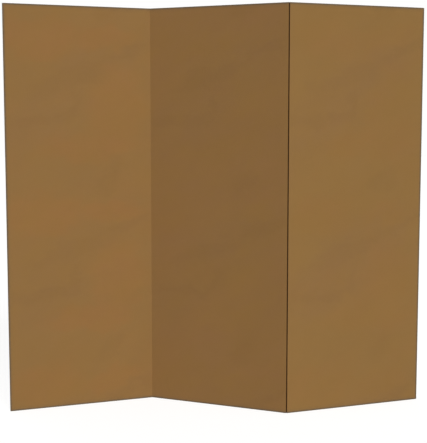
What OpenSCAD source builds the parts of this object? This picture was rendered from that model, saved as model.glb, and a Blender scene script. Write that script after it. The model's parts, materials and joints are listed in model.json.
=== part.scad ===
// Folding screen: three flat leaves in a zigzag, cut from one blank of kraft double-wall corrugated board.
// The board is cut through from alternate sides at its two folds. The sheet that is left uncut is the hinge.
// Each leaf is drawn in its own frame: X along its width, Y through the board, from the back (-Y) to the
// front (+Y), and Z up. The middle leaf's centre is the origin, and the screen stands on Z = 0.

/* [Screen] */
// Height of the screen
screen_h = 1829; // [1200:1:2100]
// Width of one leaf, from fold to fold
leaf_w = 673.5; // [350:0.5:900]
// Turn from one leaf to the next as the screen stands, where 0 is flat
fold_angle = 43.5; // [20:0.5:90]

/* [Sheets of the board, from back to front] */
// Thickness of the kraft liner on the back
back_liner_t = 0.3; // [0.2:0.05:0.5]
// Depth of the coarse fluting behind the centre liner
back_flute_h = 3.3; // [2.5:0.1:4.5]
// Thickness of the liner between the two flutings
centre_liner_t = 0.2; // [0.15:0.05:0.4]
// Depth of the fine fluting in front of the centre liner
front_flute_h = 2.17; // [1.5:0.01:3]
// Thickness of the liner on the front
front_liner_t = 0.25; // [0.15:0.05:0.5]
// Thickness of the bare paper glued over the front
face_paper_t = 0.13; // [0.1:0.01:0.3]

/* [Fluting] */
// Thickness of a fluted sheet
flute_sheet_t = 0.2; // [0.12:0.01:0.3]
// Distance from crest to crest of the coarse fluting
back_flute_pitch = 7.8; // [6.5:0.1:10]
// Distance from crest to crest of the fine fluting
front_flute_pitch = 6.5; // [5:0.1:8]

/* [Folds] */
// Width of the cut at a fold, when the screen lies flat
cut_gap = 0.5; // [0.2:0.1:1]
// Radius that the uncut sheet bends to, on the inside of a fold
crease_r = 0.4; // [0.3:0.05:1]

/* [Hidden] */
half_fold = fold_angle / 2;
reach = leaf_w / 2;

// The back face of each sheet, counted from the middle of the board's thickness
board_t = back_liner_t + back_flute_h + centre_liner_t + front_flute_h + front_liner_t + face_paper_t;
back_liner_y = -board_t / 2;
back_flute_y = back_liner_y + back_liner_t;
centre_liner_y = back_flute_y + back_flute_h;
front_flute_y = centre_liner_y + centre_liner_t;
front_liner_y = front_flute_y + front_flute_h;
face_paper_y = front_liner_y + front_liner_t;

// Where a sheet ends: a hair short of the fold's own plane where it runs on over the fold, or back from it
// where it is cut
hair = 0.005;
whole_end = reach - hair;
cut_end = reach - cut_gap / 2;

// Fold axes: the left fold's lies just behind the back face, the right fold's just in front of the front face
axis_y = board_t / 2 + crease_r;
left_axis = turned([-reach, -axis_y], -half_fold);
right_axis = -left_axis;

// Centres of the outer leaves, each hung on its fold axis
left_centre = left_axis - turned([reach, -axis_y], half_fold);
right_centre = -left_centre;

// One wave of a fluted sheet: how far along its pitch it turns, and how high it stands there, from 0 to 1
turn_x = [0.07, 0.17, 0.33, 0.43, 0.57, 0.67, 0.83, 0.93];
turn_y = [1, 0.79, 0.21, 0, 0, 0.21, 0.79, 1];

// Smoothness of the two folds
$fn = 64;

// Colours of the kraft liners, of the sheets between them, and of the bare front
kraft = [0.56, 0.42, 0.25];
kraft_inside = [0.48, 0.35, 0.2];
off_white = [0.9, 0.88, 0.85];

// A point turned about the origin
function turned(p, angle) =
    [p.x * cos(angle) - p.y * sin(angle), p.x * sin(angle) + p.y * cos(angle)];

// The direction from one point to another, at length 1
function heading(a, b) = (b - a) / norm(b - a);

// The left-hand normal of a direction
function left_of(d) = [-d.y, d.x];

// A line of points moved sideways by a distance, with mitred corners
function moved_aside(line, distance) =
    let (last = len(line) - 1)
    [
        for (i = [0 : last])
            let (before = heading(line[max(i, 1) - 1], line[max(i, 1)]))
            let (after = heading(line[min(i, last - 1)], line[min(i, last - 1) + 1]))
            let (na = left_of(before))
            let (nb = left_of(after))
            line[i] + distance * (na + nb) / (1 + na * nb)
    ];

function reversed(v) = [for (i = [len(v) - 1 : -1 : 0]) v[i]];

// The middle line of a fluted sheet, from the middle of one crest to the middle of another
function wave_line(length, height, waves) =
    let (pitch = length / waves)
    let (low = flute_sheet_t / 2)
    let (rise = height - flute_sheet_t)
    concat(
        [[0, low + rise]],
        [for (i = [0 : waves - 1]) for (k = [0 : 7]) [(i + turn_x[k]) * pitch, low + rise * turn_y[k]]],
        [[length, low + rise]]
    );

// A plain sheet of the board, from x0 to x1, with its back face at y
module sheet(x0, x1, y, thickness) {
    translate([x0, y, 0])
        cube([x1 - x0, thickness, screen_h]);
}

// A fluted sheet: as many whole waves as fit between the cut ends, nearest to the given pitch
module fluting(y, height, pitch) {
    length = 2 * cut_end;
    line = wave_line(length, height, round(length / pitch));
    half = flute_sheet_t / 2;
    translate([-cut_end, y, 0])
        linear_extrude(height = screen_h)
            polygon(concat(moved_aside(line, half), reversed(moved_aside(line, -half))));
}

// A sheet's short bend round a fold axis. It starts at the angle from and turns through the fold angle.
module bend(axis, from, inner_r, thickness) {
    translate([axis.x, axis.y, 0])
        rotate([0, 0, from])
            rotate_extrude(angle = fold_angle)
                translate([inner_r, 0])
                    square([thickness, screen_h]);
}

// Puts a leaf in its place, turned about its own centre
module placed(centre, angle) {
    translate([centre.x, centre.y, 0])
        rotate([0, 0, angle])
            children();
}

module left_leaf() {
    placed(left_centre, half_fold)
        children();
}

module middle_leaf() {
    placed([0, 0], -half_fold)
        children();
}

module right_leaf() {
    placed(right_centre, half_fold)
        children();
}

module back_liner(x0, x1) {
    color(kraft)
        sheet(x0, x1, back_liner_y, back_liner_t);
}

module back_fluting() {
    color(kraft_inside)
        fluting(back_flute_y, back_flute_h, back_flute_pitch);
}

module centre_liner() {
    color(kraft_inside)
        sheet(-cut_end, cut_end, centre_liner_y, centre_liner_t);
}

module front_fluting() {
    color(kraft_inside)
        fluting(front_flute_y, front_flute_h, front_flute_pitch);
}

module front_liner(x0, x1) {
    color(kraft)
        sheet(x0, x1, front_liner_y, front_liner_t);
}

module face_paper(x0, x1) {
    color(off_white)
        sheet(x0, x1, face_paper_y, face_paper_t);
}

// Left leaf. Its back liner runs on over the left fold, and its other sheets are cut there.
module left_back_liner() {
    left_leaf()
        back_liner(-cut_end, whole_end);
}

module left_back_fluting() {
    left_leaf()
        back_fluting();
}

module left_centre_liner() {
    left_leaf()
        centre_liner();
}

module left_front_fluting() {
    left_leaf()
        front_fluting();
}

module left_front_liner() {
    left_leaf()
        front_liner(-cut_end, cut_end);
}

module left_face_paper() {
    left_leaf()
        face_paper(-cut_end, cut_end);
}

// Middle leaf. Its back liner runs on over the left fold, its front liner and face paper over the right fold.
module middle_back_liner() {
    middle_leaf()
        back_liner(-whole_end, cut_end);
}

module middle_back_fluting() {
    middle_leaf()
        back_fluting();
}

module middle_centre_liner() {
    middle_leaf()
        centre_liner();
}

module middle_front_fluting() {
    middle_leaf()
        front_fluting();
}

module middle_front_liner() {
    middle_leaf()
        front_liner(-cut_end, whole_end);
}

module middle_face_paper() {
    middle_leaf()
        face_paper(-cut_end, whole_end);
}

// Right leaf. Its front liner and face paper run on over the right fold, and its other sheets are cut there.
module right_back_liner() {
    right_leaf()
        back_liner(-cut_end, cut_end);
}

module right_back_fluting() {
    right_leaf()
        back_fluting();
}

module right_centre_liner() {
    right_leaf()
        centre_liner();
}

module right_front_fluting() {
    right_leaf()
        front_fluting();
}

module right_front_liner() {
    right_leaf()
        front_liner(-whole_end, cut_end);
}

module right_face_paper() {
    right_leaf()
        face_paper(-whole_end, cut_end);
}

// The uncut back liner, bent round the left fold
module left_fold_liner() {
    color(kraft)
        bend(left_axis, 90 - half_fold, crease_r, back_liner_t);
}

// The uncut front liner and the face paper over it, bent round the right fold
module right_fold_liner() {
    color(kraft)
        bend(right_axis, -90 - half_fold, crease_r + face_paper_t, front_liner_t);
}

module right_fold_face_paper() {
    color(off_white)
        bend(right_axis, -90 - half_fold, crease_r, face_paper_t);
}

left_back_liner();
left_back_fluting();
left_centre_liner();
left_front_fluting();
left_front_liner();
left_face_paper();
middle_back_liner();
middle_back_fluting();
middle_centre_liner();
middle_front_fluting();
middle_front_liner();
middle_face_paper();
right_back_liner();
right_back_fluting();
right_centre_liner();
right_front_fluting();
right_front_liner();
right_face_paper();
left_fold_liner();
right_fold_liner();
right_fold_face_paper();
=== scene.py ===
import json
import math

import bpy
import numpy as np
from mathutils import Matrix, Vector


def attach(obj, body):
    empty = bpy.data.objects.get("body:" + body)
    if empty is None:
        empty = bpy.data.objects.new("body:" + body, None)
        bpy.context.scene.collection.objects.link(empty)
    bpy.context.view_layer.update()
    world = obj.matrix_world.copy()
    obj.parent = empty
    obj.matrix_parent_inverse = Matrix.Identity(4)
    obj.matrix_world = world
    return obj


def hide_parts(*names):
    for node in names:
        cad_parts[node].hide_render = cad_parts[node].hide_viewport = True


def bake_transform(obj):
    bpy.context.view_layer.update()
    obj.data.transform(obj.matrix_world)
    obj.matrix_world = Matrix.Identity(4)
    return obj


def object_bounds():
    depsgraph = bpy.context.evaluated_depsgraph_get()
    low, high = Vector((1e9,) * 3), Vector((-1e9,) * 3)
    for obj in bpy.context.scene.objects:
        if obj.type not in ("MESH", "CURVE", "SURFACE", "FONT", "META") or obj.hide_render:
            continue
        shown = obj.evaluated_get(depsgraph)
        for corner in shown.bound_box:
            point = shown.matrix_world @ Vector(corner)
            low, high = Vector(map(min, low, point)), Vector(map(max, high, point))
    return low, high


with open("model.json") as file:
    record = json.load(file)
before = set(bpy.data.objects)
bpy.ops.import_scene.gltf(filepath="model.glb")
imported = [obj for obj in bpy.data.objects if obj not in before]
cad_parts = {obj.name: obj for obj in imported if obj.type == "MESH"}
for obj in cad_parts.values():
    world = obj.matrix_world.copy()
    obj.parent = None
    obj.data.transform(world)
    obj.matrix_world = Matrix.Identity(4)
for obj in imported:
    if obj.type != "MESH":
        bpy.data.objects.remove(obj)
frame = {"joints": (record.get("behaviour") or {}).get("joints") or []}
cad_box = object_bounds()

# A folding screen of kraft corrugated board, standing in a zigzag and seen from its back. Every sheet of
# the board is a swept mesh of its own: liners that sink a little between the flutes, smooth flutes, the
# bare face paper, and the uncut sheets that bend round the two folds. Lengths are in metres, and angles
# in radians unless they say otherwise.

MM = 0.001

# How thick each layer of the board is, from back to front. A fluted layer is as thick as its waves.
BACK_LINER_T = 0.30 * MM
BACK_FLUTE_H = 3.30 * MM
CENTRE_LINER_T = 0.20 * MM
FRONT_FLUTE_H = 2.17 * MM
FRONT_LINER_T = 0.25 * MM
FACE_PAPER_T = 0.13 * MM

# The fluted sheets: the paper's own thickness, the length of a wave, and how much flatter its tips are
# than a sine's
FLUTE_SHEET_T = 0.20 * MM
BACK_PITCH = 7.8 * MM
FRONT_PITCH = 6.5 * MM
TIP_FLATNESS = 0.125

# The folds: the cut's width when flat, the inner radius that the uncut sheet bends to, and how far the
# leaf's own share of that sheet ends short of the fold's plane
CUT_GAP = 0.5 * MM
CREASE_R = 0.4 * MM
HAIR = 0.005 * MM

# How far a liner sinks between the flutes that carry it, on its face and at a cut end, and how far in
# from the leaf's upright edges it sinks in full
SINK = 0.06 * MM
SINK_AT_EDGE = 0.22 * MM
FOLD_REACH = 6 * MM

# How far in the marks reach: the wear at a cut edge and the handled rim round the screen, which making
# and use leave, and the painted shade inside the cuts, where little light gets in
EDGE_REACH = 1.6 * MM
RIM_REACH = 7 * MM
CUT_SHADE_REACH = 9 * MM

# The board's slight bow across a leaf: how deep it is, the share of it that comes and goes up the leaf
# in a wave, and that wave's radians to the metre and its angle at the floor
BOW = 0.7 * MM
BOW_CHANGE = 0.4
BOW_RATE = 2.1
BOW_AT_FLOOR = 0.7

# The raggedness of a cut end: how deep it is, and the waves it adds up from, each in radians to the
# metre with its shift from one sheet to the next
RAGGED = 0.09 * MM
RAGGED_WAVES = [(2300, 1.7), (5100, 4.1), (870, 2.9)]

# The blunting of the free corners: its reach, and how far each corner is pushed to the front and up
CORNER_REACH = 16 * MM
BOTTOM_CORNER_PUSH = -0.63 * MM, 0.72 * MM
TOP_CORNER_PUSH = 0.54 * MM, -0.45 * MM

# Levels up a sheet, close together near its ends, where the cutting and handling show
END_STEPS = [0, 0.5 * MM, 1.2 * MM, 2.4 * MM, 5 * MM, 10 * MM, 22 * MM]
MIDDLE_LEVELS = 9

# Points to a wave of a liner and of a flute, steps round a fold, and the least angle, in degrees, that
# is shaded as an edge
LINER_POINTS = 6
FLUTE_POINTS = 12
BEND_STEPS = 12
SHARP_FROM = 38

# A sheet's flat map: the border left round it, and the bands of its back and front faces, then of its
# bottom, top, left and right edges. The face that is outside the board has most room.
MAP_BORDER = 0.005
EDGE_BANDS = [(0.950, 0.958), (0.962, 0.970), (0.974, 0.982), (0.986, 0.994)]
BANDS = {
    "back": [(MAP_BORDER, 0.80), (0.81, 0.945)] + EDGE_BANDS,
    "front": [(0.81, 0.945), (MAP_BORDER, 0.80)] + EDGE_BANDS,
    "both": [(MAP_BORDER, 0.47), (0.48, 0.945)] + EDGE_BANDS,
}

# The patterns of the finishes are solid. A sheet's two faces are taken this far apart in them, which is
# three times a pattern's depth, so that they differ.
FACES_APART = 0.05
PATTERN_DEPTH = FACES_APART / 3

# The kraft's repeating pattern, in millimetres. It starts again on each leaf and at each repeat up it,
# which the streaks count from one height and the patches from another. A streak or patch is its middle,
# across a leaf and up it, its half length and half breadth, and how many degrees it climbs.
REPEAT = 788
STREAKS_FROM, PATCHES_FROM = 160, 0
GREY_BAND = [(310, 662, 380, 130, 38)]
GREY_STREAKS = [
    (285, 718, 200, 44, 18),
    (560, 835, 130, 22, 24),
    (165, 533, 165, 24, 2),
    (312, 588, 70, 22, 80),
    (475, 261, 80, 45, 55),
]
WARM_PATCHES = [
    (505, 595, 160, 125, 80),
    (380, 410, 215, 55, 3),
    (165, 105, 170, 95, 0),
    (480, 108, 140, 45, 5),
]

# Where a streak or patch has faded out and where it is whole, in half lengths and half breadths
FADE = 1.4, 0.6

# The warm patches' strength on the right leaf. The left leaf has them whole, and the middle has none.
WARM_ON_RIGHT = 0.35

# The waver of the repeating pattern: the widest span of its shifts, and the clouds that it follows
WAVER = 200 * MM
WAVER_CLOUDS = {"size": (120, 85), "detail": 4, "rough": 0.7, "turn": 20}

# The values of clouds about 0 that count as none and as all of a share
CLOUD_SPAN = -0.2, 0.2

# Colours in linear light. The kraft's own is given for each leaf, partly as its own tone and partly as
# painted light that evens out the shade and bounce that the leaves get where they face each other.
KRAFT_LEFT = (0.2872, 0.1555, 0.0488)
KRAFT_MIDDLE = (0.2905, 0.1519, 0.0516)
KRAFT_RIGHT = (0.2915, 0.1590, 0.0466)
KRAFT_RUDDY = (0.3200, 0.1515, 0.0490)
KRAFT_GREY = (0.2844, 0.1528, 0.0525)
KRAFT_YELLOW = (0.2946, 0.1566, 0.0395)
KRAFT_DARK = (0.1850, 0.0940, 0.0300)
KRAFT_RIM = (0.1360, 0.1000, 0.0620)
FLUTE_BROWN = (0.235, 0.122, 0.040)
FLUTE_DARK = (0.165, 0.082, 0.025)
# The painted shade inside the folds' cuts
PAINTED_CUT_SHADE = (0.070, 0.027, 0.006)
OFF_WHITE = (0.790, 0.768, 0.710)
OFF_WHITE_WARM = (0.775, 0.742, 0.668)
OFF_WHITE_SOILED = (0.560, 0.510, 0.420)
SCUFF_BROWN = (0.420, 0.290, 0.170)

# The camera: its place, how many degrees it is turned to the left and down, and its lens in millimetres
CAMERA_PLACE = (0.0859, -4.6194, 1.3289)
CAMERA_YAW, CAMERA_PITCH = 1.300, 5.823
CAMERA_LENS = 82.60

# The light: the even sky, then two broad lamps, of which the one in front of the screen casts no shadow.
# A lamp's angles are in degrees: its turn from straight behind the camera towards +X, its height, and
# its breadth.
WHITE = (1, 1, 1, 1)
SKY = 0.385
KEY = {"power": 1.60, "turn": 30, "height": 30, "breadth": 28, "casts": True}
FILL = {"power": 1.90, "turn": 205, "height": 42, "breadth": 50, "casts": False}
LAMP_DISTANCE = 6.0

# The floor: the grey that throws light back, the grey and the glow that the camera sees, and its size
FLOOR_GREY = (0.58, 0.58, 0.58, 1)
FLOOR_SHOWN_GREY = (0.36, 0.36, 0.36, 1)
FLOOR_GLOW = 0.66
FLOOR_SIZE = 60.0

# What the frame says: the folds' axes and half their angle at rest, and the screen's height
joints = {j["name"]: j for j in frame["joints"]}
left_axis = np.array(joints["left_fold"]["pos_m"][:2])
right_axis = np.array(joints["right_fold"]["pos_m"][:2])
half_fold = math.radians(-joints["left_fold"]["range_deg"][0]) / 2
height = cad_box[1].z

# A leaf, from its own middle: its thickness, how far off its middle plane and how far to the side a
# fold's axis lies, and where its sheets end, cut or running on over a fold
board_t = BACK_LINER_T + BACK_FLUTE_H + CENTRE_LINER_T + FRONT_FLUTE_H + FRONT_LINER_T + FACE_PAPER_T
axis_y = board_t / 2 + CREASE_R
reach = math.sqrt(left_axis @ left_axis - axis_y**2)
cut_end = reach - CUT_GAP / 2
whole_end = reach - HAIR

# The back face of each layer, counted from the middle of the board
back_liner_y = -board_t / 2
back_flute_y = back_liner_y + BACK_LINER_T
centre_liner_y = back_flute_y + BACK_FLUTE_H
front_flute_y = centre_liner_y + CENTRE_LINER_T
front_liner_y = front_flute_y + FRONT_FLUTE_H
face_paper_y = front_liner_y + FRONT_LINER_T

back_waves = round(2 * cut_end / BACK_PITCH)
front_waves = round(2 * cut_end / FRONT_PITCH)

# Where the folds lie along the blank, from its left edge, and how far to each side of them the kraft's
# colour and its warm patches change over
left_fold_along, right_fold_along = 2 * reach, 4 * reach
colour_change = 0.1 * reach
warm_change = 0.05 * reach

levels = np.concatenate([
    END_STEPS,
    np.linspace(END_STEPS[-1], height - END_STEPS[-1], MIDDLE_LEVELS + 2)[1:-1],
    height - np.array(END_STEPS[::-1]),
])


# ---------------------------------------------------------------- the shape of the board

def eased(t):
    """0 to 1 with a smooth start and end."""
    t = np.clip(t, 0, 1)
    return t * t * (3 - 2 * t)


def turned(x, y, angle):
    """Points turned about the origin, as an array whose last axis is (x, y)."""
    c, s = math.cos(angle), math.sin(angle)
    return np.stack([x * c - y * s, x * s + y * c], axis=-1)


class Leaf:
    """One leaf's place: its centre, its turn, how much of the blank lies to its left, on which side it
    ends free, -1 for the left, 1 for the right and 0 for neither, and which way it bows, 1 for the front
    and -1 for the back."""

    def __init__(self, name, centre, turn, before, free_side, bowed):
        self.name = name
        self.body = name + "_leaf"
        self.centre = centre
        self.turn = turn
        self.before = before
        self.free_side = free_side
        self.bowed = bowed

    def put(self, x, y):
        """Points of the leaf's own frame, in the screen's frame."""
        return turned(x, y, self.turn) + self.centre


def three_leaves():
    """The leaves from left to right, each outer one hung on its fold's axis. Neighbours bow opposite
    ways, so that they nest when folded."""
    left_centre = left_axis - turned(reach, -axis_y, half_fold)
    return [
        Leaf("left", left_centre, half_fold, before=0, free_side=-1, bowed=-1),
        Leaf("middle", np.zeros(2), -half_fold, before=left_fold_along, free_side=0, bowed=1),
        Leaf("right", -left_centre, half_fold, before=right_fold_along, free_side=1, bowed=-1),
    ]


def from_ends(z):
    """How far a point lies from the nearer of its sheet's top and bottom edges."""
    return np.minimum(z, height - z)


def from_free_side(leaf, x):
    """How far a point lies from the upright edge where the screen ends. The middle leaf has none."""
    return cut_end - leaf.free_side * x if leaf.free_side else np.full_like(x, np.inf)


def from_folds(leaf, x):
    """How far a point lies from the fold on its half of the leaf: infinitely, where that has none."""
    return np.where(np.sign(x) == leaf.free_side, np.inf, np.maximum(cut_end - np.abs(x), 0))


def worn(distance):
    """The wear at some distance from a cut edge, from 1 down to 0."""
    return np.exp(-distance / EDGE_REACH)


def handled(distance):
    """The soil of handling at some distance from an outer edge: a band of it that fades out softly."""
    return np.exp(-((distance / RIM_REACH) ** 2))


def off_sides(x):
    """0 at the leaf's upright edges and 1 away from them, so that neighbouring leaves meet flush."""
    return eased((reach - np.abs(x)) / FOLD_REACH)


def waves_from_left(x, waves):
    """How many waves of a fluted sheet lie to the left of a point."""
    return (x + cut_end) / (2 * cut_end) * waves


def sink(x, z, waves, first):
    """How far a liner lies below the flutes' tips. first is the share of a wave before the first tip."""
    wave = (1 - np.cos(2 * math.pi * (waves_from_left(x, waves) - first))) / 2
    return wave * off_sides(x) * (SINK + (SINK_AT_EDGE - SINK) * worn(from_ends(z)))


def bow(leaf, x, z):
    """The leaf's slight bow, none at its upright edges."""
    strength = 1 - BOW_CHANGE + BOW_CHANGE * np.sin(BOW_RATE * z + BOW_AT_FLOOR)
    return leaf.bowed * BOW * (1 - (x / reach) ** 2) * strength


def ragged(x, z, sheet):
    """How far up or down a cut end's raggedness takes a point. It is inwards, and none at the sides."""
    rough = sum(np.sin(x * rate + sheet * shift) for rate, shift in RAGGED_WAVES)
    share = 0.5 + rough / (2 * len(RAGGED_WAVES))
    return -RAGGED * share * off_sides(x) * np.sign(z - height / 2) * worn(from_ends(z))


def blunted(leaf, x, z):
    """How far a point near a free corner of the leaf is pushed towards the front, and how far up."""
    out, up = np.zeros_like(x), np.zeros_like(x)
    if leaf.free_side:
        for corner_z, (push, lift) in ((0, BOTTOM_CORNER_PUSH), (height, TOP_CORNER_PUSH)):
            share = eased(1 - np.hypot(x - leaf.free_side * cut_end, z - corner_z) / CORNER_REACH)
            out = out + push * share
            up = up + lift * share**2
    return out, up


# ---------------------------------------------------------------- meshes

def swept(name, mid, z, side, thickness, along, marks, shown):
    """A closed sheet from a grid of points up and along its middle. mid is (rows, points, 2), z is
    (rows, points), and side is the direction from its back to its front at each point. along is each
    point's place along the blank. marks are what making and use have left on it, and the painted shade
    in the cuts, by name. shown is the face that is outside the board, or both where neither is."""
    back = np.concatenate([mid - side * thickness / 2, z[..., None]], axis=-1)
    front = np.concatenate([mid + side * thickness / 2, z[..., None]], axis=-1)
    vertices = np.concatenate([back.reshape(-1, 3), front.reshape(-1, 3)])
    strips = strips_of(z)
    mesh = bpy.data.meshes.new(name)
    mesh.from_pydata(vertices, [], np.concatenate([quads for _, quads in strips]).tolist())
    corners = [map_corners(quads, kind, z, *band) for (kind, quads), band in zip(strips, BANDS[shown])]
    mesh.uv_layers.new(name="OFBake").data.foreach_set("uv", np.concatenate(corners).ravel())
    write_place(mesh, along, z)
    write_marks(mesh, marks, z)
    outside = np.concatenate([np.full(len(quads), float(kind == shown)) for kind, quads in strips])
    mesh.attributes.new("outside", "FLOAT", "FACE").data.foreach_set("value", outside)
    mesh.shade_smooth()
    mesh.set_sharp_from_angle(angle=math.radians(SHARP_FROM))
    piece = bpy.data.objects.new(name, mesh)
    bpy.context.scene.collection.objects.link(piece)
    return piece


def strips_of(z):
    """A sheet's strips of faces, each with its kind: the back and front, the two level edges and the two
    upright ones. The front's points follow the back's."""
    b = np.arange(z.size).reshape(z.shape)
    f = b + z.size
    strips = [
        ("back", (b[:-1, :-1], b[:-1, 1:], b[1:, 1:], b[1:, :-1])),
        ("front", (f[:-1, :-1], f[1:, :-1], f[1:, 1:], f[:-1, 1:])),
        ("level", (f[0, :-1], f[0, 1:], b[0, 1:], b[0, :-1])),
        ("level", (b[-1, :-1], b[-1, 1:], f[-1, 1:], f[-1, :-1])),
        ("upright", (f[:-1, 0], b[:-1, 0], b[1:, 0], f[1:, 0])),
        ("upright", (b[:-1, -1], f[:-1, -1], f[1:, -1], b[1:, -1])),
    ]
    return [(kind, np.stack([c.ravel() for c in corners], axis=-1)) for kind, corners in strips]


def map_corners(quads, kind, z, low, high):
    """Where the corners of a strip of faces lie on the flat map, in the band from low to high."""
    points = z.shape[1]
    along = quads % points / (points - 1)
    up = (levels / height)[quads % z.size // points]
    side = quads // z.size
    u = along if kind == "level" else up
    v = along if kind in ("back", "front") else side
    return np.stack([MAP_BORDER + (1 - 2 * MAP_BORDER) * u, low + (high - low) * v], axis=-1)


def write_place(mesh, along, z):
    """Writes where each point lies on the flat sheet: along the blank, up it, and on which face."""
    place = np.stack([np.broadcast_to(along, z.shape), z, np.zeros_like(z)], axis=-1).reshape(-1, 3)
    both_faces = np.concatenate([place, place + (0, 0, FACES_APART)])
    written = mesh.attributes.new("sheet_place", "FLOAT_VECTOR", "POINT")
    written.data.foreach_set("vector", both_faces.ravel())


def write_marks(mesh, marks, z):
    """Writes how strong each mark is at each point, from 0 to 1."""
    for mark, strength in marks.items():
        both_faces = np.tile(np.broadcast_to(strength, z.shape).ravel(), 2)
        mesh.attributes.new(mark, "FLOAT", "POINT").data.foreach_set("value", both_faces)


def leaf_sheet(leaf, name, x, y, z, thickness, sheet, shown):
    """A sheet of a leaf, with its middle at y of the leaf's own frame: bowed, blunted and cut as the
    leaf is. sheet is its number in the board, counted from the back."""
    out, lift = blunted(leaf, x, z)
    mid = leaf.put(x, y + bow(leaf, x, z) + out)
    step = np.gradient(mid, axis=1)
    step /= np.linalg.norm(step, axis=-1, keepdims=True)
    side = np.stack([-step[..., 1], step[..., 0]], axis=-1)
    from_edge = np.minimum(from_ends(z), from_free_side(leaf, x))
    # Sheets inside the board carry painted shade in the fold's cut, fading away from it
    cut_shade_mark = np.exp(-from_folds(leaf, x) / CUT_SHADE_REACH) if shown == "both" else np.zeros_like(x)
    marks = {"edge_wear": worn(from_edge), "rim": handled(from_edge), "cut_shade_mark": cut_shade_mark}
    along = leaf.before + reach + x
    return swept(name, mid, z + ragged(x, z, sheet) + lift, side, thickness, along, marks, shown)


def grid(x):
    """A line of points and the levels, as two arrays of one shape."""
    z, x = np.meshgrid(levels, x, indexing="ij")
    return x, z


def liner(leaf, name, ends, y, thickness, waves, first, sinks, sheet, shown):
    """A flat sheet, with its back face at y. It sinks towards the flutes that carry it, by sinks times
    the usual depth."""
    x, z = grid(np.linspace(*ends, waves * LINER_POINTS + 1))
    middle = y + thickness / 2 + sinks * sink(x, z, waves, first)
    return leaf_sheet(leaf, name, x, middle, z, thickness, sheet, shown)


def fluting(leaf, name, y, depth, waves, sheet):
    """A fluted sheet, with its back tips at y and its first front tip at the left cut end."""
    x, z = grid(np.linspace(-cut_end, cut_end, waves * FLUTE_POINTS + 1))
    swing = np.cos(2 * math.pi * waves_from_left(x, waves))
    rise = 0.5 + (0.5 + TIP_FLATNESS) * swing - TIP_FLATNESS * swing**3
    middle = y + FLUTE_SHEET_T / 2 + (depth - FLUTE_SHEET_T) * rise
    return leaf_sheet(leaf, name, x, middle, z, FLUTE_SHEET_T, sheet, "both")


def bend(name, axis, facing, inner, thickness, along, shown):
    """An uncut sheet round a fold's axis, from the leaf on its left to the leaf on its right. facing is
    1 where the bend lies in front of the axis and -1 where it lies behind. inner is its inner radius."""
    leftwards = half_fold * facing
    turn, z = grid(facing * math.pi / 2 + np.linspace(leftwards, -leftwards, BEND_STEPS + 1))
    ray = np.stack([np.cos(turn), np.sin(turn)], axis=-1)
    mid = axis + ray * (inner + thickness / 2)
    # A bend inside the board carries painted shade all over, as it lies in the cut
    cut_shade_mark = float(shown == "both")
    marks = {"edge_wear": worn(from_ends(z)), "rim": handled(from_ends(z)), "cut_shade_mark": cut_shade_mark}
    return swept(name, mid, z, ray * facing, thickness, along, marks, shown)


# ---------------------------------------------------------------- finishes

class Wire:
    """A socket of a node. Python's arithmetic on it adds Math nodes."""

    def __init__(self, nodes, socket):
        self.nodes = nodes
        self.socket = socket

    def __add__(self, other):
        return self.nodes.maths("ADD", self, other)

    def __sub__(self, other):
        return self.nodes.maths("SUBTRACT", self, other)

    def __rsub__(self, other):
        return self.nodes.maths("SUBTRACT", other, self)

    def __mul__(self, other):
        return self.nodes.maths("MULTIPLY", self, other)

    __radd__ = __add__
    __rmul__ = __mul__


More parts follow.
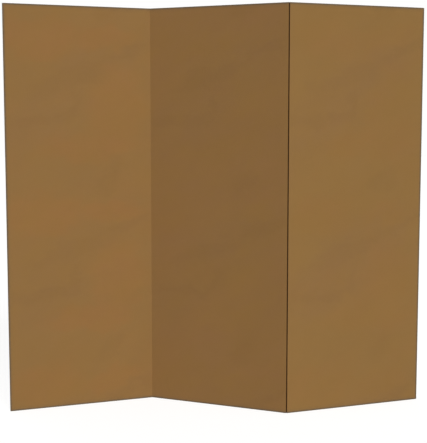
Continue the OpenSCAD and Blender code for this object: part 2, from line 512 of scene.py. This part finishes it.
class Nodes:
    """The nodes of a finish or of the sky, being laid out."""

    def __init__(self, owner):
        owner.use_nodes = True
        self.tree = owner.node_tree
        self.tree.nodes.clear()

    def add(self, kind, settings=None, values=None, output=0):
        """Adds a node: first its settings, then each socket's value or link. Returns one of its outputs."""
        made = self.tree.nodes.new(kind)
        for key, value in (settings or {}).items():
            setattr(made, key, value)
        for key, value in (values or {}).items():
            if isinstance(value, Wire):
                self.tree.links.new(value.socket, made.inputs[key])
            else:
                made.inputs[key].default_value = value
        return Wire(self, made.outputs[output]) if made.outputs else None

    def maths(self, operation, *values):
        """An operation on numbers."""
        return self.add("ShaderNodeMath", {"operation": operation}, dict(enumerate(values)))

    def vector_maths(self, operation, *values, output="Vector"):
        """An operation on vectors."""
        return self.add("ShaderNodeVectorMath", {"operation": operation}, dict(enumerate(values)), output)

    def sheet_place(self):
        """Where a point lies on the flat sheet: along the blank, up it, and on which face."""
        return self.add("ShaderNodeAttribute", {"attribute_name": "sheet_place"}, output="Vector")

    def mark(self, name):
        """One of the marks that the shapes carry, such as edge_wear: from 0 to 1."""
        return self.add("ShaderNodeAttribute", {"attribute_name": name}, output="Fac")

    def counted(self, place, start, turn, size):
        """A place as counted from start, in units of size, along axes turned by some degrees."""
        values = {"Vector": place, "Location": start, "Rotation": (0, 0, math.radians(turn)), "Scale": size}
        return self.add("ShaderNodeMapping", {"vector_type": "TEXTURE"}, values)

    def in_patterns(self, size, turn=0, shift=(0, 0, 0)):
        """The place on the sheet, counted in patterns. size is a pattern's length and height in
        millimetres, and turn is how many degrees it climbs. shift is in patterns."""
        size = (size[0] * MM, size[1] * MM, PATTERN_DEPTH)
        start = tuple(a * b for a, b in zip(shift, size))
        return self.counted(self.sheet_place(), start, turn, size)

    def clouds(self, output, size, detail, rough, **lie):
        """A cloudy pattern about 0.5, as numbers or as colours. lie is its turn and shift, if it has any."""
        place = self.in_patterns(size, **lie)
        values = {"Vector": place, "Scale": 1.0, "Detail": detail, "Roughness": rough}
        return self.add("ShaderNodeTexNoise", {}, values, output)

    def noise(self, **pattern):
        """A cloudy pattern about 0, mostly within a fifth of it."""
        return self.clouds("Fac", **pattern) - 0.5

    def spots(self, size, radius):
        """1 inside small round spots and 0 between them. radius is counted in patterns."""
        near = self.add("ShaderNodeTexVoronoi", {}, {"Vector": self.in_patterns(size), "Scale": 1.0})
        return self.between(near, radius, 0.0)

    def repeated(self, lowest):
        """The place in the kraft's repeating pattern, with its waver. lowest is where the first repeat
        starts. The third direction is through the sheet, where nothing repeats."""
        start = (0, lowest * MM, -1)
        end = (left_fold_along, (lowest + REPEAT) * MM, 1)
        place = self.vector_maths("WRAP", self.sheet_place(), end, start)
        clouds = self.clouds("Color", **WAVER_CLOUDS)
        waver = self.vector_maths("MULTIPLY_ADD", clouds, (WAVER, WAVER, 0), (-WAVER / 2, -WAVER / 2, 0))
        return self.vector_maths("ADD", place, waver)

    def patches(self, place, shapes):
        """1 inside soft patches of the repeating pattern and 0 between them. A sheet's front has none."""
        strongest = 0.0
        for across, up, length, breadth, climb in shapes:
            size = (length * MM, breadth * MM, PATTERN_DEPTH)
            in_patches = self.counted(place, (across * MM, up * MM, 0), climb, size)
            far = self.vector_maths("LENGTH", in_patches, output="Value")
            strongest = self.maths("MAXIMUM", strongest, self.between(far, *FADE))
        return strongest

    def past(self, fold_along, change):
        """0 before a fold and 1 past it, changing over so far to each side of it."""
        along = self.add("ShaderNodeSeparateXYZ", {}, {0: self.sheet_place()}, output="X")
        return self.between(along, fold_along - change, fold_along + change)

    def between(self, value, low, high):
        """0 where value is low and 1 where it is high, eased between them. low may be the larger."""
        values = {"Value": value, "From Min": low, "From Max": high}
        return self.add("ShaderNodeMapRange", {"interpolation_type": "SMOOTHSTEP"}, values)

    def mixed(self, share, first, second):
        """A mix of two colours. share is the second one's, and below 0 it counts as none. Inputs 6 and 7
        and output 2 are the node's sockets for colours."""
        first, second = (c if isinstance(c, Wire) else (*c, 1.0) for c in (first, second))
        return self.add("ShaderNodeMix", {"data_type": "RGBA"}, {0: share, 6: first, 7: second}, output=2)

    def lit(self, colour, amount):
        """A colour made lighter or darker."""
        return self.add("ShaderNodeVectorMath", {"operation": "SCALE"}, {0: colour, "Scale": amount})

    def raised(self, heights, depth, strength):
        """A surface direction from a pattern of heights, depth metres high."""
        return self.add("ShaderNodeBump", {}, {"Height": heights, "Distance": depth, "Strength": strength})

    def paper(self, colour, roughness, normal, shine):
        """Joins the patterns to a matt surface."""
        values = {"Base Color": colour, "Roughness": roughness, "Normal": normal, "Specular IOR Level": shine}
        surface = self.add("ShaderNodeBsdfPrincipled", {}, values)
        self.add("ShaderNodeOutputMaterial", {}, {"Surface": surface})

    def seen_directly(self):
        """1 for what the camera sees, also by reflection or through something clear."""
        kinds = ("Is Camera Ray", "Is Glossy Ray", "Is Transmission Ray")
        camera, glossy, clear = (self.add("ShaderNodeLightPath", output=kind) for kind in kinds)
        return camera + glossy + clear


def kraft_colour(n):
    """The kraft's colour before its grain and marks: a slow change from leaf to leaf, partly painted light,
    greyer in a broad band, and ruddier and yellower in soft patches and clouds."""
    past_left = n.past(left_fold_along, colour_change)
    past_right = n.past(right_fold_along, colour_change)
    on_left = 1 - n.past(left_fold_along, warm_change)
    band = n.patches(n.repeated(STREAKS_FROM), GREY_BAND)
    warm = n.patches(n.repeated(PATCHES_FROM), WARM_PATCHES)
    ruddy = n.noise(size=(430, 270), detail=4, rough=0.7, turn=24, shift=(3.1, 7.7, 0))
    yellow = n.noise(size=(320, 210), detail=5, rough=0.8, turn=32, shift=(9.3, 1.2, 4))
    warm_by_leaf = warm * (on_left + WARM_ON_RIGHT * past_right)
    ruddy_share = 0.65 * warm_by_leaf + 0.4 * n.between(ruddy, *CLOUD_SPAN) - 0.2
    yellow_share = 0.5 * n.between(yellow, *CLOUD_SPAN) + 0.2 * warm - 0.05
    left_half = n.mixed(past_left, KRAFT_LEFT, KRAFT_MIDDLE)
    whole = n.mixed(past_right, left_half, KRAFT_RIGHT)
    greyer = n.mixed(0.7 * band, whole, KRAFT_GREY)
    ruddier = n.mixed(ruddy_share, greyer, KRAFT_RUDDY)
    return n.mixed(yellow_share, ruddier, KRAFT_YELLOW)


def kraft_liner_finish(n):
    """Brown kraft: its colour, which changes from leaf to leaf, soft clouds and darker streaks, short fibres
    that lie along the roll, a few dark flecks, and a duller rim outside, where it is handled. A broad, slow
    change of lightness is painted light that offsets the shade of the left fold's valley, and inside the
    folds' cuts there is painted shade. Its cut ends are paler."""
    streaks = n.patches(n.repeated(STREAKS_FROM), GREY_STREAKS)
    # Painted light: a broad, slow lightening and darkening, placed to offset the shade that the left fold's
    # valley throws across the leaves
    counter_shade = n.noise(size=(1700, 4000), detail=0, rough=0.5, shift=(1.62, 2.78, 0))
    clouds = n.noise(size=(380, 220), detail=6, rough=0.85, turn=30)
    pulp = n.noise(size=(8, 5), detail=3, rough=0.6)
    fibres = n.noise(size=(3.2, 0.42), detail=2, rough=0.6, turn=4)
    cross_fibres = n.noise(size=(0.6, 2.1), detail=2, rough=0.6, turn=14, shift=(1.7, 5.2, 0))
    flecks = n.spots(size=(7.5, 4.5), radius=0.1)
    rub = n.noise(size=(26, 18), detail=5, rough=0.75, shift=(6, 2, 1))
    wear = n.mark("edge_wear")
    outside = n.mark("outside")
    flecked = n.mixed(flecks * 0.9, kraft_colour(n), KRAFT_DARK)
    rimmed = n.mixed(n.mark("rim") * outside * (0.95 + 1.6 * rub), flecked, KRAFT_RIM)
    # Painted shade inside the folds' cuts
    cut_shaded = n.mixed(n.mark("cut_shade_mark"), rimmed, PAINTED_CUT_SHADE)
    grain = 0.1 * pulp + 1.1 * fibres + 0.5 * cross_fibres
    paler_ends = 0.25 * wear * (1 - outside)
    colour = n.lit(cut_shaded, 1 + 0.2 * counter_shade - 0.034 * streaks + 0.16 * clouds + grain + paler_ends)
    roughness = 0.84 + 0.12 * pulp + 0.06 * wear
    bumps = 0.55 * fibres + 0.25 * cross_fibres + 0.5 * pulp
    n.paper(colour, roughness, n.raised(bumps, depth=0.1 * MM, strength=0.7), shine=0.28)


def kraft_fluting_finish(n):
    """The darker brown of fluting paper, with a looser grain. It is palest at its cut edges, and inside the
    folds' cuts it has painted shade."""
    pulp = n.noise(size=(7, 4), detail=3, rough=0.6, shift=(2, 2, 2))
    fibres = n.noise(size=(1.7, 0.3), detail=2, rough=0.6, shift=(4, 1, 2))
    base = n.mixed(n.between(pulp, low=-0.15, high=0.25), FLUTE_BROWN, FLUTE_DARK)
    # Painted shade inside the folds' cuts
    cut_shaded = n.mixed(n.mark("cut_shade_mark"), base, PAINTED_CUT_SHADE)
    colour = n.lit(cut_shaded, 1 + 0.2 * fibres + 0.6 * n.mark("edge_wear"))
    n.paper(colour, 0.88 + 0.1 * fibres, n.raised(fibres + pulp, depth=0.09 * MM, strength=0.6), shine=0.2)


def face_paper_finish(n):
    """Bare off-white paper: faint clouds, fine tooth, a soiled rim, and a brown rub at its cut edges."""
    clouds = n.noise(size=(200, 140), detail=4, rough=0.6, shift=(11, 3, 0))
    tooth = n.noise(size=(1.1, 0.8), detail=3, rough=0.65)
    rub = n.noise(size=(16, 11), detail=3, rough=0.6, shift=(5, 5, 5))
    wear = n.mark("edge_wear")
    warm = n.mixed(n.between(clouds, low=-0.15, high=0.25), OFF_WHITE, OFF_WHITE_WARM)
    soiled = n.mixed(n.mark("rim") * n.mark("outside") * (0.3 + rub), warm, OFF_WHITE_SOILED)
    rubbed = n.mixed(wear * n.between(rub, low=-0.05, high=0.2) * 0.7, soiled, SCUFF_BROWN)
    colour = n.lit(rubbed, 1 + 0.03 * clouds + 0.05 * tooth)
    roughness = 0.62 + 0.16 * clouds + 0.1 * tooth + 0.15 * wear
    n.paper(colour, roughness, n.raised(tooth, depth=0.04 * MM, strength=0.5), shine=0.35)


def finish(name, lay_out):
    """A new material, laid out by one of the functions whose names end in finish."""
    material = bpy.data.materials.new(name)
    lay_out(Nodes(material))
    return material


# ---------------------------------------------------------------- the object

def dress(piece, slot, node):
    """Gives a piece its finish and hides the part of model.glb that it stands for."""
    piece.data.materials.append(finishes[slot])
    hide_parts(node)


def lay(leaf, part, slot, make, **shape):
    """Makes a sheet of a leaf and lays it in. make is liner or fluting, and shape is what that needs."""
    node = f"{leaf.name}_{part}"
    piece = make(leaf, node + "_sheet", **shape)
    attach(piece, leaf.body)
    dress(piece, slot, node)


def leaf_of_board(leaf):
    """All six sheets of a leaf. A sheet that isn't cut at a fold runs on to the fold's own plane."""
    back_left = -whole_end if leaf.name == "middle" else -cut_end
    back_right = whole_end if leaf.name == "left" else cut_end
    front_left = -whole_end if leaf.name == "right" else -cut_end
    front_right = whole_end if leaf.name == "middle" else cut_end
    in_front = {"ends": (front_left, front_right), "waves": front_waves, "first": 0, "sinks": -1}
    lay(
        leaf, "back_liner", "kraft_liner", liner, ends=(back_left, back_right), y=back_liner_y,
        thickness=BACK_LINER_T, waves=back_waves, first=0.5, sinks=1, sheet=1, shown="back",
    )
    lay(
        leaf, "centre_liner", "kraft_fluting", liner, ends=(-cut_end, cut_end), y=centre_liner_y,
        thickness=CENTRE_LINER_T, waves=back_waves, first=0, sinks=0, sheet=3, shown="both",
    )
    lay(
        leaf, "front_liner", "kraft_liner", liner, **in_front, y=front_liner_y,
        thickness=FRONT_LINER_T, sheet=5, shown="both",
    )
    lay(
        leaf, "face_paper", "face_paper", liner, **in_front, y=face_paper_y,
        thickness=FACE_PAPER_T, sheet=6, shown="front",
    )
    lay(
        leaf, "back_fluting", "kraft_fluting", fluting, y=back_flute_y,
        depth=BACK_FLUTE_H, waves=back_waves, sheet=2,
    )
    lay(
        leaf, "front_fluting", "kraft_fluting", fluting, y=front_flute_y,
        depth=FRONT_FLUTE_H, waves=front_waves, sheet=4,
    )


def fold_sheet(node, slot, leaves, axis, inner, **shape):
    """Makes an uncut sheet, curved round a fold between the leaves on either side of it, from one of its long
    edges to the other. It stays where it is made and isn't hung on either leaf. leaves is not used."""
    piece = bend(node + "_sheet", axis, inner=inner, **shape)
    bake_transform(piece)
    dress(piece, slot, node)


def folds():
    """The uncut sheets round the two folds. At the right fold the face paper is the inner one."""
    left_pair, right_pair = ("left_leaf", "middle_leaf"), ("middle_leaf", "right_leaf")
    at_left = {"axis": left_axis, "facing": 1, "along": left_fold_along}
    at_right = {"axis": right_axis, "facing": -1, "along": right_fold_along}
    fold_sheet(
        "left_fold_liner", "kraft_liner", left_pair, **at_left,
        inner=CREASE_R, thickness=BACK_LINER_T, shown="back",
    )
    fold_sheet(
        "right_fold_liner", "kraft_liner", right_pair, **at_right,
        inner=CREASE_R + FACE_PAPER_T, thickness=FRONT_LINER_T, shown="both",
    )
    fold_sheet(
        "right_fold_face_paper", "face_paper", right_pair, **at_right,
        inner=CREASE_R, thickness=FACE_PAPER_T, shown="front",
    )


# ---------------------------------------------------------------- floor, light and camera

def floor_finish(n):
    """Plain pale grey for the light it throws back. The camera sees it nearly white, with shadows."""
    plain = n.add("ShaderNodeBsdfDiffuse", {}, {"Color": FLOOR_GREY})
    shown = n.add("ShaderNodeBsdfDiffuse", {}, {"Color": FLOOR_SHOWN_GREY})
    glow = n.add("ShaderNodeEmission", {}, {"Color": WHITE, "Strength": FLOOR_GLOW})
    pale = n.add("ShaderNodeAddShader", {}, {0: shown, 1: glow})
    both = n.add("ShaderNodeMixShader", {}, {0: n.seen_directly(), 1: plain, 2: pale})
    n.add("ShaderNodeOutputMaterial", {}, {"Surface": both})


def floor():
    """A plain, level floor."""
    mesh = bpy.data.meshes.new("floor")
    h = FLOOR_SIZE / 2
    mesh.from_pydata([(-h, -h, 0), (h, -h, 0), (h, h, 0), (-h, h, 0)], [], [(0, 1, 2, 3)])
    mesh.materials.append(finish("floor", floor_finish))
    obj = bpy.data.objects.new("floor", mesh)
    bpy.context.scene.collection.objects.link(obj)


def surroundings():
    """An even, neutral sky that lights the screen, and shows as white."""
    world = bpy.data.worlds.new("surroundings")
    bpy.context.scene.world = world
    n = Nodes(world)
    sky = n.add("ShaderNodeBackground", {}, {"Color": WHITE, "Strength": SKY})
    white = n.add("ShaderNodeBackground", {}, {"Color": WHITE, "Strength": 1.0})
    both = n.add("ShaderNodeMixShader", {}, {0: n.seen_directly(), 1: sky, 2: white})
    n.add("ShaderNodeOutputWorld", {}, {"Surface": both})


def lamp(name, power, turn, height, breadth, casts):
    """A far, broad lamp."""
    data = bpy.data.lights.new(name, "SUN")
    data.energy = power
    data.use_shadow = casts
    data.angle = math.radians(breadth)
    obj = bpy.data.objects.new(name, data)
    t, h = math.radians(turn), math.radians(height)
    towards = Vector((math.sin(t) * math.cos(h), -math.cos(t) * math.cos(h), math.sin(h)))
    obj.rotation_euler = towards.to_track_quat("Z", "Y").to_euler()
    obj.location = towards * LAMP_DISTANCE
    bpy.context.scene.collection.objects.link(obj)


def camera():
    """The camera, level from side to side. Its own zero looks straight down, so a right angle levels
    it."""
    data = bpy.data.cameras.new("camera")
    data.lens = CAMERA_LENS
    obj = bpy.data.objects.new("camera", data)
    obj.location = CAMERA_PLACE
    obj.rotation_euler = (math.radians(90 - CAMERA_PITCH), 0, math.radians(CAMERA_YAW))
    bpy.context.scene.collection.objects.link(obj)
    bpy.context.scene.camera = obj


camera()
surroundings()
lamp("key", **KEY)
lamp("fill", **FILL)
floor()
finishes = {
    "kraft_liner": finish("kraft_liner", kraft_liner_finish),
    "kraft_fluting": finish("kraft_fluting", kraft_fluting_finish),
    "face_paper": finish("face_paper", face_paper_finish),
}
for leaf in three_leaves():
    leaf_of_board(leaf)
folds()

bpy.context.scene.view_settings.view_transform = "Standard"
